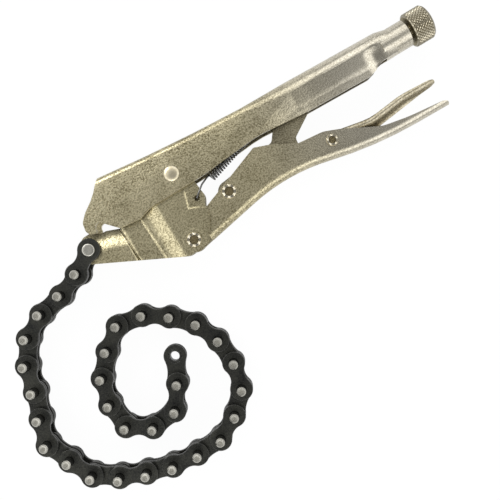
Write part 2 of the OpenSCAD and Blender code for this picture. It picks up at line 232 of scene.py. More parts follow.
@dataclass(frozen=True)
class Fade:
    """Slow change of a finish along X to other tones, another smoothness and a share of its bump."""

    start: float
    end: float
    light: str
    dark: str
    roughness: Span
    bump: float

    def share(self, tree: Tree, place: Socket) -> Socket:
        """How far the change has gone, from 0 to 1.

        Args:
            tree: the material's node tree.
            place: object coordinates.

        Returns:
            Output socket with the share.
        """
        along = add_node(tree, "ShaderNodeSeparateXYZ", {0: place}).outputs["X"]
        limits = {"Value": along, 1: self.start * MM, 2: self.end * MM, 3: 0.0, 4: 1.0}
        return add_node(tree, "ShaderNodeMapRange", limits, interpolation_type="SMOOTHSTEP").outputs[0]


@dataclass(frozen=True)
class Metal:
    """Metal with a grain: a light and a dark tone mottled together, and a bump of the same grain."""

    name: str
    light: str
    dark: str
    roughness: Span
    grain: float
    bump: float
    metallic: float = 1.0
    cloud: float = 14.0
    cloud_share: float = 0.3
    pressings: tuple[Ring | Groove, ...] = ()
    fade: Fade | None = None
    painted_shade: PaintedShade | None = None

    def build(self) -> bpy.types.Material:
        """Make the material.

        Returns:
            The material, with its node tree filled in.
        """
        material = bpy.data.materials.new(self.name)
        material.use_nodes = True
        tree = material.node_tree
        shader = tree.nodes["Principled BSDF"]
        place = add_node(tree, "ShaderNodeTexCoord").outputs["Object"]
        grain = GRAIN.pattern(tree, place, self.grain)
        shares = {0: self.cloud_share, 2: grain, 3: CLOUD.pattern(tree, place, self.cloud)}
        blend = add_node(tree, "ShaderNodeMix", shares).outputs[0]
        colour, matt = self.mottled(tree, blend, self)
        if self.fade:
            share = self.fade.share(tree, place)
            far_colour, far_matt = self.mottled(tree, blend, self.fade)
            tones = {0: share, 6: colour, 7: far_colour}
            colour = add_node(tree, "ShaderNodeMix", tones, data_type="RGBA").outputs[2]
            matt = add_node(tree, "ShaderNodeMix", {0: share, 2: matt, 3: far_matt}).outputs[0]
        # Painted shade: a darker tone mixed in along a line
        if self.painted_shade:
            share = self.painted_shade.line.height(tree, self.side_view(tree, place))
            tones = {0: share, 6: colour, 7: linear(self.painted_shade.tone)}
            colour = add_node(tree, "ShaderNodeMix", tones, data_type="RGBA").outputs[2]
        shader.inputs["Metallic"].default_value = self.metallic
        tree.links.new(colour, shader.inputs["Base Color"])
        tree.links.new(matt, shader.inputs["Roughness"])
        tree.links.new(self.relief(tree, place, grain), shader.inputs["Normal"])
        return material

    @staticmethod
    def side_view(tree: Tree, place: Socket) -> Socket:
        """Object coordinates flattened to the side view.

        Args:
            tree: the material's node tree.
            place: object coordinates.

        Returns:
            Output socket with the flattened coordinates.
        """
        flat = add_node(tree, "ShaderNodeVectorMath", {0: place, 1: (1, 1, 0)}, operation="MULTIPLY")
        return flat.outputs[0]

    @staticmethod
    def mottled(tree: Tree, blend: Socket, finish: "Metal | Fade") -> tuple[Socket, Socket]:
        """Colour and roughness of a mottle, whose light spots are its smooth ones.

        Args:
            tree: the material's node tree.
            blend: the mottle's pattern from 0 to 1.
            finish: what holds the two tones and the two degrees of roughness.

        Returns:
            Output sockets with the colour and the roughness.
        """
        tones = {0: blend, 6: linear(finish.dark), 7: linear(finish.light)}
        colour = add_node(tree, "ShaderNodeMix", tones, data_type="RGBA").outputs[2]
        smooth, rough = finish.roughness
        limits = {"Value": blend, 1: 0.0, 2: 1.0, 3: rough, 4: smooth}
        return colour, add_node(tree, "ShaderNodeMapRange", limits).outputs[0]

    def relief(self, tree: Tree, place: Socket, grain: Socket) -> Socket:
        """Bump of the grain, laid over the pressed marks.

        Args:
            tree: the material's node tree.
            place: object coordinates.
            grain: the grain's pattern from 0 to 1.

        Returns:
            Output socket with the normal.
        """
        fine = {"Strength": 1.0, "Distance": self.bump * MM, "Height": grain}
        if self.fade:
            limits = {"Value": self.fade.share(tree, place), 1: 0.0, 2: 1.0, 3: 1.0, 4: self.fade.bump}
            fine["Strength"] = add_node(tree, "ShaderNodeMapRange", limits).outputs[0]
        if self.pressings:
            side = self.side_view(tree, place)
            total, *others = [mark.height(tree, side) for mark in self.pressings]
            for height in others:
                total = add_node(tree, "ShaderNodeMath", {0: total, 1: height}, operation="ADD").outputs[0]
            form = add_node(tree, "ShaderNodeBump", {"Strength": 1.0, "Distance": MM, "Height": total})
            fine["Normal"] = form.outputs[0]
        return add_node(tree, "ShaderNodeBump", fine).outputs[0]


JAW_MARKS = (
    Ring((40, -32), 6.3, 0.6, 0.04),
    Groove(((7.8, -5.5), (8.7, -26.5)), 0.6, 0.8),
)
# Painted shade along the top of the jaw's nose, standing in for the dark reflection on its upper band
NOSE_PAINTED_SHADE = PaintedShade(Groove(((-4.5, 0.6), (3.0, -1.0), (7.0, -3.6)), 7.0, -0.85), "#2b2924")
RELEASE_LINE = ((140.0, -22.8), (157.0, -25.8), (178.0, -23.4), (199.0, -23.6))
RELEASE_BEND = Groove(RELEASE_LINE, 6.0, -2.0)
# The handles' tails are handled most, so their plate turns greyer and smoother
GREY_END = Fade(84.0, 170.0, "#dad4c4", "#9f998a", (0.2, 0.28), 0.25)
# Nickel plate on tumbled steel sheet: a warm grey satin with a sparkling grain. The real grain is about
# 0.2 mm and is drawn coarser so that it shows.
HANDLE_PLATE = Metal("satin nickel plate on stamped steel", "#dad0ae", "#60583d", (0.28, 0.36), 0.85, 0.04,
                     fade=GREY_END)
LEVER_PLATE = Metal("satin nickel plate on bent steel", "#dad0ae", "#60583d", (0.28, 0.37), 0.85, 0.042,
                    fade=GREY_END)
JAW_PLATE = Metal("satin nickel plate on pressed steel", "#dad0ac", "#5e563c", (0.27, 0.35), 0.85, 0.037,
                  pressings=JAW_MARKS, painted_shade=NOSE_PAINTED_SHADE)
LINK_STEEL = Metal("satin nickel plate on steel bar", "#b4ac92", "#58513e", (0.28, 0.37), 0.85, 0.037)
RELEASE_STEEL = Metal("bright nickel plate on thin sheet", "#c5bda8", "#837a62", (0.28, 0.36), 0.9, 0.02,
                      pressings=(RELEASE_BEND,))
# Plate on turned and drawn steel: brighter and smoother than on sheet, with hardly any grain
SCREW_STEEL = Metal("nickel plate on turned steel", "#a39d8c", "#7d7664", (0.24, 0.34), 1.2, 0.008)
RIVET_STEEL = Metal("bright drawn rivet steel", "#dcd5c2", "#c4bba2", (0.18, 0.26), 1.2, 0.006)
DOME_STEEL = Metal("drawn rivet steel dulled by handling", "#cfc6ae", "#b3a98d", (0.3, 0.38), 1.2, 0.01)
# Bottom of a crimped head: a dark brown tone painted as the shade in its pit, and dull
CRIMP_PIT_PAINTED_SHADE = Metal("dull steel painted in shade in a crimped head", "#7a6f52", "#3a3428", (0.4, 0.5), 0.9, 0.05)
# Face turned under the screw's head: duller, and browner and darker as painted shade standing in for the
# shadow on this face
TURNED_FACE_PAINTED_SHADE = Metal("nickel plate on a turned face in painted shade", "#8d8465", "#6b6247", (0.4, 0.5), 0.7, 0.02)
# Plate rubbed bright along sheared edges
WORN_EDGE = Metal("nickel plate rubbed bright on edges", "#d9d3bf", "#bdb59d", (0.28, 0.4), 0.8, 0.015)
# Oil-tempered spring wire: dark, smooth and glossy
SPRING_WIRE = Metal("oil tempered spring wire", "#7d7d7b", "#4c4c4c", (0.22, 0.32), 1.5, 0.004)
# Black oxide on blanked chain plates: nearly black, a soft sheen, faint rub marks
CHAIN_OXIDE = Metal("black oxide on chain plate", "#3f3f39", "#121314", (0.3, 0.46), 0.9, 0.02, metallic=0.75,
                    cloud=9.0, cloud_share=0.55)
CHAIN_EDGE = Metal("black oxide rubbed at the edge", "#474743", "#232323", (0.34, 0.46), 0.9, 0.015,
                   metallic=0.8)
# Pin ends ground flush: a light rim round a duller cut face
PIN_RIM = Metal("ground pin rim", "#bfbdb4", "#a3a198", (0.25, 0.35), 0.6, 0.01)
PIN_FACE = Metal("sawn pin face", "#96948b", "#75736b", (0.35, 0.5), 0.6, 0.03)


class FinishRack:
    """Keeps each finish's material, made once."""

    def __init__(self) -> None:
        """Start with no material made."""
        self.made: dict[str, bpy.types.Material] = {}

    def get(self, finish: Metal) -> bpy.types.Material:
        """Material of a finish.

        Args:
            finish: the finish that is wanted.

        Returns:
            Its material.
        """
        if finish.name not in self.made:
            self.made[finish.name] = finish.build()
        return self.made[finish.name]


# Mesh work

# Metres within which two points are one: in a copied solid, at a cut, in a turned shape and after rounding
SAME_POINT = 0.01 * MM
SAME_CUT = 0.02 * MM
SAME_TURNED = 0.0001 * MM
SAME_ROUNDED = 0.003 * MM
# Faces that meet at less than the first angle are one flat; edges sharper than the second are rounded
FLAT = math.radians(0.3)
ROUNDED = math.radians(38)
# Least share of a normal across the tool: of a side face, a vertex that is pressed, a pin's end and its bevel
SIDE_FACE = 0.7
PRESSED = 0.05
PIN_END = 0.95
PIN_BEVEL = 0.3
UP = Vector((0, 0, 1))


def eased(share: float) -> float:
    """Soft step from 0 to 1, level at both ends."""
    share = min(max(share, 0.0), 1.0)
    return share * share * (3 - 2 * share)


def places(start: float, end: float, step: float) -> tuple[float, ...]:
    """Evenly spaced places from a start to an end."""
    count = round((end - start) / step)
    return tuple(start + (end - start) * k / count for k in range(count + 1))


def offsets(points: Sequence[Point], x: float, y: float) -> list[tuple[float, bool]]:
    """How far a point lies from each stretch of a line.

    Args:
        points: the line's points.
        x: the point's place along X.
        y: the point's place along Y.

    Returns:
        For each stretch the distance, and whether the point is on its left side.
    """
    found = []
    for start, end in zip(points, points[1:]):
        run = Vector(end) - Vector(start)
        away = Vector((x, y)) - Vector(start)
        share = min(max(away.dot(run) / run.length_squared, 0.0), 1.0)
        off = away - run * share
        found.append((off.length, run.cross(off) > 0))
    return found


def cut(bm: Mesh, faces: list[bmesh.types.BMFace], at: Vector, normal: Vector) -> None:
    """Cut faces along a plane.

    Args:
        bm: the mesh.
        faces: the faces.
        at: a point of the plane, in metres.
        normal: the plane's normal.
    """
    edges = list(dict.fromkeys(e for f in faces for e in f.edges))
    verts = list(dict.fromkeys(v for f in faces for v in f.verts))
    bmesh.ops.bisect_plane(bm, geom=verts + edges + faces, dist=SAME_CUT, plane_co=at, plane_no=normal)


def since(bm: Mesh, before: set[Vert]) -> list[Vert]:
    """Vertices that a mesh has got since an earlier state."""
    return [v for v in bm.verts if v not in before]


def with_faces(verts: list[Vert]) -> list[Any]:
    """Vertices together with the edges and faces at them."""
    edges = dict.fromkeys(e for v in verts for e in v.link_edges)
    return [*verts, *edges, *dict.fromkeys(f for v in verts for f in v.link_faces)]


@dataclass(frozen=True)
class Step:
    """Rise of a plate's outer face between two places along X."""

    start: float
    end: float
    rise: float

    def lift(self, x: float, _: float) -> float:
        """Height that the step adds at a point, in millimetres."""
        return self.rise * eased((x - self.start) / (self.end - self.start))


@dataclass(frozen=True)
class Fold:
    """Rounding of a plate's outer face towards or away from a line, up to some place along X.

    A shelf keeps the line's own height all over the line's left side.
    """

    points: tuple[Point, ...]
    width: float
    near: float
    far: float
    shelf: bool = False
    until: float = math.inf

    def lift(self, x: float, y: float) -> float:
        """Height that the fold adds at a point, in millimetres."""
        if x > self.until:
            return 0.0
        gap = min(0.0 if self.shelf and left else away for away, left in offsets(self.points, x, y))
        return self.near + (self.far - self.near) * eased(gap / self.width)


@dataclass(frozen=True)
class Coining:
    """Fine line struck into a plate's outer face, with sides that slope to its middle."""

    points: tuple[Point, ...]
    width: float = 0.5
    depth: float = 0.17

    def lift(self, x: float, y: float) -> float:
        """Height that the line adds at a point, in millimetres."""
        gap = min(away for away, _ in offsets(self.points, x, y))
        return -self.depth * max(0.0, 1 - gap / self.width)

    def part(self, bm: Mesh) -> None:
        """Cut the faces along the line's middle, its sides and a rim beside them, and across its ends.

        Args:
            bm: the mesh, in the part's frame.
        """
        for start, end in zip(self.points, self.points[1:]):
            first, last = Vector((*start, 0)) * MM, Vector((*end, 0)) * MM
            run = (last - first).normalized()
            side = run.cross(UP) * self.width * MM
            rim = 2 * self.width * MM
            low = Vector(map(min, first, last)) - Vector((1, 1, 0)) * rim
            high = Vector(map(max, first, last)) + Vector((1, 1, 0)) * rim
            planes = [(first + side * k, side.normalized()) for k in (-2, -1, 0, 1, 2)]
            planes += [(at, run) for at in (first - run * rim, first, last, last + run * rim)]
            for at, normal in planes:
                near = [f for f in bm.faces if abs(f.normal.z) > SIDE_FACE
                        and all(max(v.co[i] for v in f.verts) > low[i] for i in (0, 1))
                        and all(min(v.co[i] for v in f.verts) < high[i] for i in (0, 1))]
                cut(bm, near, at, normal)


@dataclass(frozen=True)
class Forming:
    """Shapes pressed into the two side faces of a piece, with the places where its faces are cut for them."""

    shapes: tuple[Step | Fold, ...]
    across: tuple[float, ...]
    along: tuple[float, ...]
    lines: tuple[Coining, ...] = ()

    def press(self, bm: Mesh) -> None:
        """Cut the faces and press the shapes into those that face outwards.

        Args:
            bm: the mesh, in the part's frame.
        """
        low, high = min(self.across) * MM, max(self.across) * MM
        for normal, stations in ((Vector((1, 0, 0)), self.across), (Vector((0, 1, 0)), self.along)):
            for station in stations:
                near = [f for f in bm.faces if any(low - MM < v.co.x < high + MM for v in f.verts)
                        or min(v.co.x for v in f.verts) < low < max(v.co.x for v in f.verts)]
                cut(bm, near, normal * station * MM, normal)
        for line in self.lines:
            line.part(bm)
        bm.normal_update()
        for v in [v for v in bm.verts if v.normal.z * math.copysign(1, v.co.z) > PRESSED]:
            rise = sum(shape.lift(v.co.x / MM, v.co.y / MM) for shape in self.shapes + self.lines)
            v.co.z += rise * MM * math.copysign(1, v.co.z)


NOSE_LINE = ((-18.0, -3.6), (-4.0, -4.2), (3.0, -6.0), (10.0, -9.2))
JAW_FORM = Forming(
    (Step(7.7, 8.7, -1.4), Step(20.4, 21.2, -0.1), Step(23.6, 32.8, 1.5),
     Fold(NOSE_LINE, 8.0, -1.7, 0.0, shelf=True, until=8.1)),
    places(-17.0, 7.0, 1.5) + places(7.6, 8.8, 0.2) + places(10.5, 19.5, 1.5) + places(20.2, 22.2, 0.25)
    + places(23.2, 33.2, 0.8),
    places(-19.0, 1.0, 1.0),
    (Coining(((48.9, -6.4), (46.0, -15.6), (53.6, -19.0))), Coining(((20.5, -7.0), (21.7, -33.4)))),
)
RELEASE_CROWN = Forming(
    (Fold(RELEASE_LINE, 4.6, 0.0, -1.1),),
    places(138.0, 198.0, 2.5),
    places(-31.0, -22.0, 0.75),
)
BODY_DENTS = Forming(
    (Fold(((117.0, -8.5), (125.0, -7.5)), 10.5, -0.8, 0.0),
     Fold(((175.5, -3.0), (175.5, 4.0)), 6.0, -0.7, 0.0),
     Fold(((126.0, -9.0), (126.0, 13.0)), 12.0, 0.28, 0.0),
     Fold(((132.0, -8.0), (172.0, -8.0)), 10.0, -1.2, 0.0)),
    places(106.0, 139.0, 1.5) + places(142.0, 166.0, 3.0) + places(168.0, 181.0, 1.0),
    places(-8.0, 12.0, 1.0),
)


def turned(bm: Mesh, profile: Sequence[Point], steps: int) -> list[Vert]:
    """Turn a profile of [radius, height] points round Z.

    Args:
        bm: the mesh that takes the shape.
        profile: points from the bottom to the top, each a radius and a height in millimetres.
        steps: facets round the axis.

    Returns:
        The vertices of the turned shape.
    """
    before = set(bm.verts)
    row = [bm.verts.new((r * MM, 0, h * MM)) for r, h in profile]
    line = [bm.edges.new(pair) for pair in zip(row, row[1:])]
    bmesh.ops.spin(bm, geom=row + line, cent=(0, 0, 0), axis=UP, angle=math.tau, steps=steps, use_merge=True)
    bmesh.ops.remove_doubles(bm, verts=since(bm, before), dist=SAME_TURNED)
    verts = since(bm, before)
    faces = list(dict.fromkeys(f for v in verts for f in v.link_faces))
    bmesh.ops.recalc_face_normals(bm, faces=faces)
    return verts


def swept(bm: Mesh, path: Sequence[Vector], radius: float, sides: int) -> None:
    """Draw a round wire along a path, with closed ends.

    Args:
        bm: the mesh that takes the wire.
        path: points of the wire's middle line, in metres.
        radius: the wire's radius in metres.
        sides: facets round the wire.
    """
    frames: list[Matrix] = []
    across = (path[1] - path[0]).orthogonal()
    for k, point in enumerate(path):
        ahead = (path[min(k + 1, len(path) - 1)] - path[max(k - 1, 0)]).normalized()
        across = (across - across.dot(ahead) * ahead).normalized()
        turn = Matrix((across, ahead.cross(across), ahead)).transposed()
        frames.append(Matrix.Translation(point) @ turn.to_4x4())
    ring = bmesh.ops.create_circle(bm, cap_ends=True, radius=radius, segments=sides, matrix=frames[0])
    edges = list(dict.fromkeys(e for v in ring["verts"] for e in v.link_edges))
    for last, now in zip(frames, frames[1:]):
        grown = bmesh.ops.extrude_edge_only(bm, edges=edges)["geom"]
        verts = [g for g in grown if isinstance(g, Vert)]
        bmesh.ops.transform(bm, matrix=now @ last.inverted(), verts=verts)
        fresh = set(verts)
        edges = [g for g in grown if isinstance(g, bmesh.types.BMEdge) and set(g.verts) <= fresh]
    bmesh.ops.edgeloop_fill(bm, edges=edges)
    bmesh.ops.recalc_face_normals(bm, faces=bm.faces)


@dataclass
class Piece:
    """One finished object: its mesh, the body that it rides on and the nodes that it stands for.

    Edges over the sharp angle, in degrees, stay sharp in the shading.
    """

    name: str
    body: str
    slot: str
    nodes: tuple[str, ...]
    sharp: float = 32.0

    def finish(self, bm: Mesh, materials: Sequence[bpy.types.Material]) -> bpy.types.Object:
        """Turn the mesh into an object at the origin.

        Args:
            bm: the mesh, in the part's frame.
            materials: one material for each face index.

        Returns:
            The new object, which rides on nothing yet.
        """
        mesh = bpy.data.meshes.new(self.name)
        bm.to_mesh(mesh)
        bm.free()
        if "custom_normal" in mesh.attributes:
            mesh.attributes.remove(mesh.attributes["custom_normal"])
        mesh.polygons.foreach_set("use_smooth", [True] * len(mesh.polygons))
        mesh.set_sharp_from_angle(angle=math.radians(self.sharp))
        for material in materials:
            mesh.materials.append(material)
        obj = bpy.data.objects.new(self.name, mesh)
        bpy.context.scene.collection.objects.link(obj)
        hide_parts(*self.nodes)
        LOG.info("%s: %d faces, stands for %s", self.name, len(mesh.polygons), ", ".join(self.nodes))
        return obj

    def ride(self, bm: Mesh, materials: Sequence[bpy.types.Material]) -> bpy.types.Object:
        """Finish the piece and let it ride on its body.

        Args:
            bm: the mesh, in the part's frame.
            materials: one material for each face index.

        Returns:
            The new object.
        """
        obj = self.finish(bm, materials)
        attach(obj, self.body)
        return obj


def solid_copy(frame: Frame, node: str) -> Mesh:
    """Copy a node's solid with its flat faces joined up.

    Args:
        frame: the loaded frame.
        node: the node's name.

    Returns:
        A new mesh.
    """
    bm = bmesh.new()
    bm.from_mesh(frame["nodes"][node].data)
    bmesh.ops.remove_doubles(bm, verts=bm.verts, dist=SAME_POINT)
    bmesh.ops.dissolve_limit(bm, angle_limit=FLAT, verts=bm.verts, edges=bm.edges)
    for face in bm.faces:
        face.material_index = 0
    return bm


def round_edges(obj: bpy.types.Object, width: float) -> None:
    """Round an object's sharp edges, two faces wide, and give them its second material.

    Args:
        obj: the object.
        width: the rounding's width in millimetres.
    """
    bevel = obj.modifiers.new("rounded edges", "BEVEL")
    bevel.width = width * MM
    bevel.segments = 2
    bevel.limit_method = "ANGLE"
    bevel.angle_limit = ROUNDED
    bevel.harden_normals = True
    bevel.material = 1
    weld = obj.modifiers.new("joined slivers", "WELD")
    weld.merge_threshold = SAME_ROUNDED


# Sub-assemblies


@dataclass
class SheetMetal:
    """The pressed and blanked pieces of the tool, which keep the frame's shapes and get rounded edges."""

    frame: Frame
    rack: FinishRack
    edge: float = 0.45
    forms: dict[str, Forming] = field(default_factory=lambda: {
        "body": BODY_DENTS, "jaw": JAW_FORM, "release_lever": RELEASE_CROWN})
    pieces: dict[str, tuple[str, str, Metal]] = field(default_factory=lambda: {
        "body": ("body_channel", "handle_plate", HANDLE_PLATE),
        "jaw": ("jaw_pressing", "jaw_plate", JAW_PLATE),
        "lever": ("lever_channel", "handle_plate", LEVER_PLATE),
        "toggle_link": ("toggle_bar", "link_steel", LINK_STEEL),
        "release_lever": ("release_trough", "release_steel", RELEASE_STEEL),
    })

    def build(self) -> None:
        """Make each piece and let it ride on the body of the same name."""
        for node, (name, slot, finish) in self.pieces.items():
            piece = Piece(name, node, slot, (node,))
            bm = solid_copy(self.frame, node)
            if node in self.forms:
                self.forms[node].press(bm)
            obj = piece.ride(bm, [self.rack.get(finish), self.rack.get(WORN_EDGE)])
            round_edges(obj, self.edge)


class HeadStyle(Enum):
    """How a rivet's heads are set."""

    DOME = "dome"
    CRIMPED = "crimped"
    BUTTON = "button"

    @property
    def finish(self) -> Metal:
        """Finish of heads that are set so."""
        return {"dome": DOME_STEEL, "crimped": RIVET_STEEL, "button": PIN_RIM}[self.value]


# Half outline of each kind of head, as shares of its radius and height
CROWNS = {
    HeadStyle.DOME: ((0.96, 0.42), (0.9, 0.56), (0.82, 0.68), (0.7, 0.8), (0.55, 0.89), (0.38, 0.96),
                     (0.2, 0.99), (0.0, 1.0)),
    HeadStyle.CRIMPED: ((0.98, 0.45), (0.97, 0.56), *((0.95 - 0.03 * k, 0.62) for k in range(12)),
                        (0.58, 0.5), (0.55, 0.26), (0.3, 0.24), (0.0, 0.22)),
    HeadStyle.BUTTON: ((0.98, 0.6), (0.93, 0.85), (0.86, 0.97), (0.78, 1.0), (0.4, 0.97), (0.0, 0.95)),
}


@dataclass
class Rivet:
    """Rivet across the tool with a head on each side.

    The rim's height and the rise of the crimped dots are shares of the head's height. The dots' place, their
    radius and the radius of the pit, which is painted in shade, are shares of the head's radius.
    """

    name: str
    body: str
    at: Point
    shank: float
    head: float
    seat: float
    style: HeadStyle
    height: float = 1.2
    rim: float = 0.3
    lobes: int = 6
    dot_at: float = 0.78
    dot_r: float = 0.2
    dot_rise: float = 0.4
    shade_pit_r: float = 0.6
    steps: int = 96

    def profile(self) -> list[Point]:
        """Upper half of the rivet from its shank to the middle of its head, as radius and height."""
        shares = ((1.0, 0.0), (1.0, self.rim), *CROWNS[self.style])
        return [(self.shank, self.seat)] + [(r * self.head, self.seat + h * self.height) for r, h in shares]

    def crimp(self, verts: Iterable[Vert]) -> None:
        """Raise the dots that the crimping tool leaves in a head.

        Args:
            verts: the rivet's vertices, with Z along its axis.
        """
        turn = math.tau / self.lobes
        for v in verts:
            share = math.hypot(v.co.x, v.co.y) / (self.head * MM)
            off = (math.atan2(v.co.y, v.co.x) + turn / 2) % turn - turn / 2
            gap = math.hypot(share - self.dot_at, share * off) / self.dot_r
            if gap < 1 and abs(v.co.z) > self.seat * MM:
                v.co.z += math.copysign(self.dot_rise * self.height * MM * (1 - gap * gap), v.co.z)

    def build(self, rack: FinishRack) -> None:
        """Make the rivet.

        Args:
            rack: the finishes.
        """
        half = self.profile()
        bm = bmesh.new()
        verts = turned(bm, [(r, -h) for r, h in reversed(half)] + half, self.steps)
        if self.style is HeadStyle.CRIMPED:
            self.crimp(verts)
            # Faces in the pit of each crimped head get the second material, painted shade
            for face in bm.faces:
                middle = face.calc_center_median()
                inside = math.hypot(middle.x, middle.y) < self.shade_pit_r * self.head * MM
                if inside and abs(middle.z) > self.seat * MM:
                    face.material_index = 1
        bmesh.ops.translate(bm, verts=bm.verts, vec=Vector((*self.at, 0)) * MM)
        Piece(f"{self.name}_{self.style.value}", self.body, "rivet_steel", (self.name,)).ride(
            bm, [rack.get(self.style.finish), rack.get(CRIMP_PIT_PAINTED_SHADE)])


@dataclass
class AdjustingScrew:
    """Screw with a rolled thread and a diamond knurled head, along X.

    The thread's crest and foot are shares of its pitch.
    """

    rack: FinishRack
    axis_y: float = 6.0
    tip_x: float = 142.4
    tip_bevel: float = 0.6
    head_x: float = 201.0
    shank_r: float = 4.5
    root_r: float = 3.95
    thread_end_x: float = 178.0
    thread_pitch: float = 2.0
    thread_lead: float = 1.2
    thread_spare: float = 3.0
    thread_sink: float = 0.05
    thread_crest: Span = (0.35, 0.5)
    thread_foot: float = 0.85
    thread_steps: int = 24
    run_out: float = 0.5
    head_r: float = 10.0
    head_len: float = 11.2
    bevel: float = 0.8
    lip: float = 0.15
    lip_width: float = 0.6
    dome: float = 1.8
    dome_step: int = 15
    knurl_depth: float = 0.7
    knurl_around: int = 30
    knurl_rows: int = 5

    def build(self) -> None:
        """Make the screw and let it ride on its own body."""
        bm = bmesh.new()
        self.core(bm)
        self.thread(bm)
        self.knurl(bm)
        turn = UP.rotation_difference(Vector((1, 0, 0))).to_matrix().to_4x4()
        place = Matrix.Translation((0, self.axis_y * MM, 0)) @ turn
        bmesh.ops.transform(bm, matrix=place, verts=bm.verts)
        Piece("screw_knurled", "adjusting_screw", "screw_steel", ("adjusting_screw",)).ride(
            bm, [self.rack.get(SCREW_STEEL), self.rack.get(TURNED_FACE_PAINTED_SHADE)])

    def core(self, bm: Mesh) -> None:
        """Turn the shank and the two ends of the head, with the knurled band left open.

        Args:
            bm: the mesh that takes the shape, with Z along the screw.
        """
        valley = self.head_r - self.knurl_depth
        end = self.head_x + self.head_len
        crown = self.head_r - self.bevel
        angles = [math.radians(d) for d in range(0, 90, self.dome_step)]
        dome = [(crown * math.cos(a), end + self.dome * math.sin(a)) for a in angles]
        steps = 2 * self.knurl_around
        turned(bm, [
            (0, self.tip_x), (self.root_r - self.tip_bevel, self.tip_x),
            (self.root_r, self.tip_x + self.tip_bevel), (self.root_r, self.thread_end_x),
            (self.shank_r, self.thread_end_x + self.run_out), (self.shank_r, self.head_x),
            (crown - self.lip_width, self.head_x), (crown, self.head_x + self.lip),
            (valley, self.head_x + self.bevel),
        ], steps)
        turned(bm, [(valley, end - self.bevel), *dome, (0, end + self.dome)], steps)
        # The face under the head gets the second material, painted shade
        for face in bm.faces:
            if abs(face.calc_center_median().z - self.head_x * MM) < SAME_POINT:
                face.material_index = 1

    def thread(self, bm: Mesh) -> None:
        """Wind the thread round the shank.

        Args:
            bm: the mesh that takes the shape, with Z along the screw.
        """
        turns = int((self.thread_end_x - self.tip_x - self.thread_spare) / self.thread_pitch)
        foot = self.root_r - self.thread_sink
        start = self.tip_x + self.thread_lead
        crest = ((self.shank_r, share) for share in self.thread_crest)
        ridge = ((foot, 0.0), *crest, (foot, self.thread_foot))
        row = [bm.verts.new((r * MM, 0, (start + share * self.thread_pitch) * MM)) for r, share in ridge]
        face = bm.faces.new(row)
        climb = self.thread_pitch / self.thread_steps * MM
        bmesh.ops.spin(bm, geom=[face, *face.edges, *row], cent=(0, 0, 0), axis=UP, dvec=UP * climb,
                       angle=math.tau * turns, steps=self.thread_steps * turns)

    def knurl(self, bm: Mesh) -> None:
        """Roll rows of raised diamonds into the head and join them to its two ends.

        Args:
            bm: the mesh that takes the shape, with Z along the screw.
        """
        low = self.head_x + self.bevel
        high = self.head_x + self.head_len - self.bevel
        tall = (high - low) / self.knurl_rows
        half = math.pi / self.knurl_around
        valley = self.head_r - self.knurl_depth
        before = set(bm.verts)
        corners = [(-half, 0.0), (0.0, -tall / 2), (half, 0.0), (0.0, tall / 2)]
        quad = [bm.verts.new((valley * math.cos(a) * MM, valley * math.sin(a) * MM, (low + h) * MM))
                for a, h in corners]
        face = bm.faces.new(quad)
        face.normal_update()
        bmesh.ops.poke(bm, faces=[face], offset=self.knurl_depth * MM)
        shape = with_faces(since(bm, before))
        for row in range(1, 2 * self.knurl_rows + 1):
            copy = bmesh.ops.duplicate(bm, geom=shape)["geom"]
            verts = [g for g in copy if isinstance(g, Vert)]
            turn = Matrix.Rotation(half * (row % 2), 3, "Z")
            bmesh.ops.rotate(bm, verts=verts, cent=(0, 0, 0), matrix=turn)
            bmesh.ops.translate(bm, verts=verts, vec=(0, 0, row * tall / 2 * MM))
        bmesh.ops.spin(bm, geom=with_faces(since(bm, before)), cent=(0, 0, 0), axis=UP, use_duplicate=True,
                       angle=math.tau * (1 - 1 / self.knurl_around), steps=self.knurl_around - 1)
        for height, side in ((low, -1), (high, 1)):
            bmesh.ops.bisect_plane(bm, geom=with_faces(since(bm, before)), plane_co=(0, 0, height * MM),
                                   plane_no=(0, 0, side), clear_outer=True)
        bmesh.ops.remove_doubles(bm, verts=since(bm, before), dist=SAME_CUT)
        open_verts = [v for v in bm.verts if v.is_boundary]
        rims = [v for v in open_verts if v not in before]
        ends = {v: min(rims, key=lambda rim: (rim.co - v.co).length) for v in open_verts if v in before}
        bmesh.ops.weld_verts(bm, targetmap=ends)
        bmesh.ops.recalc_face_normals(bm, faces=bm.faces)


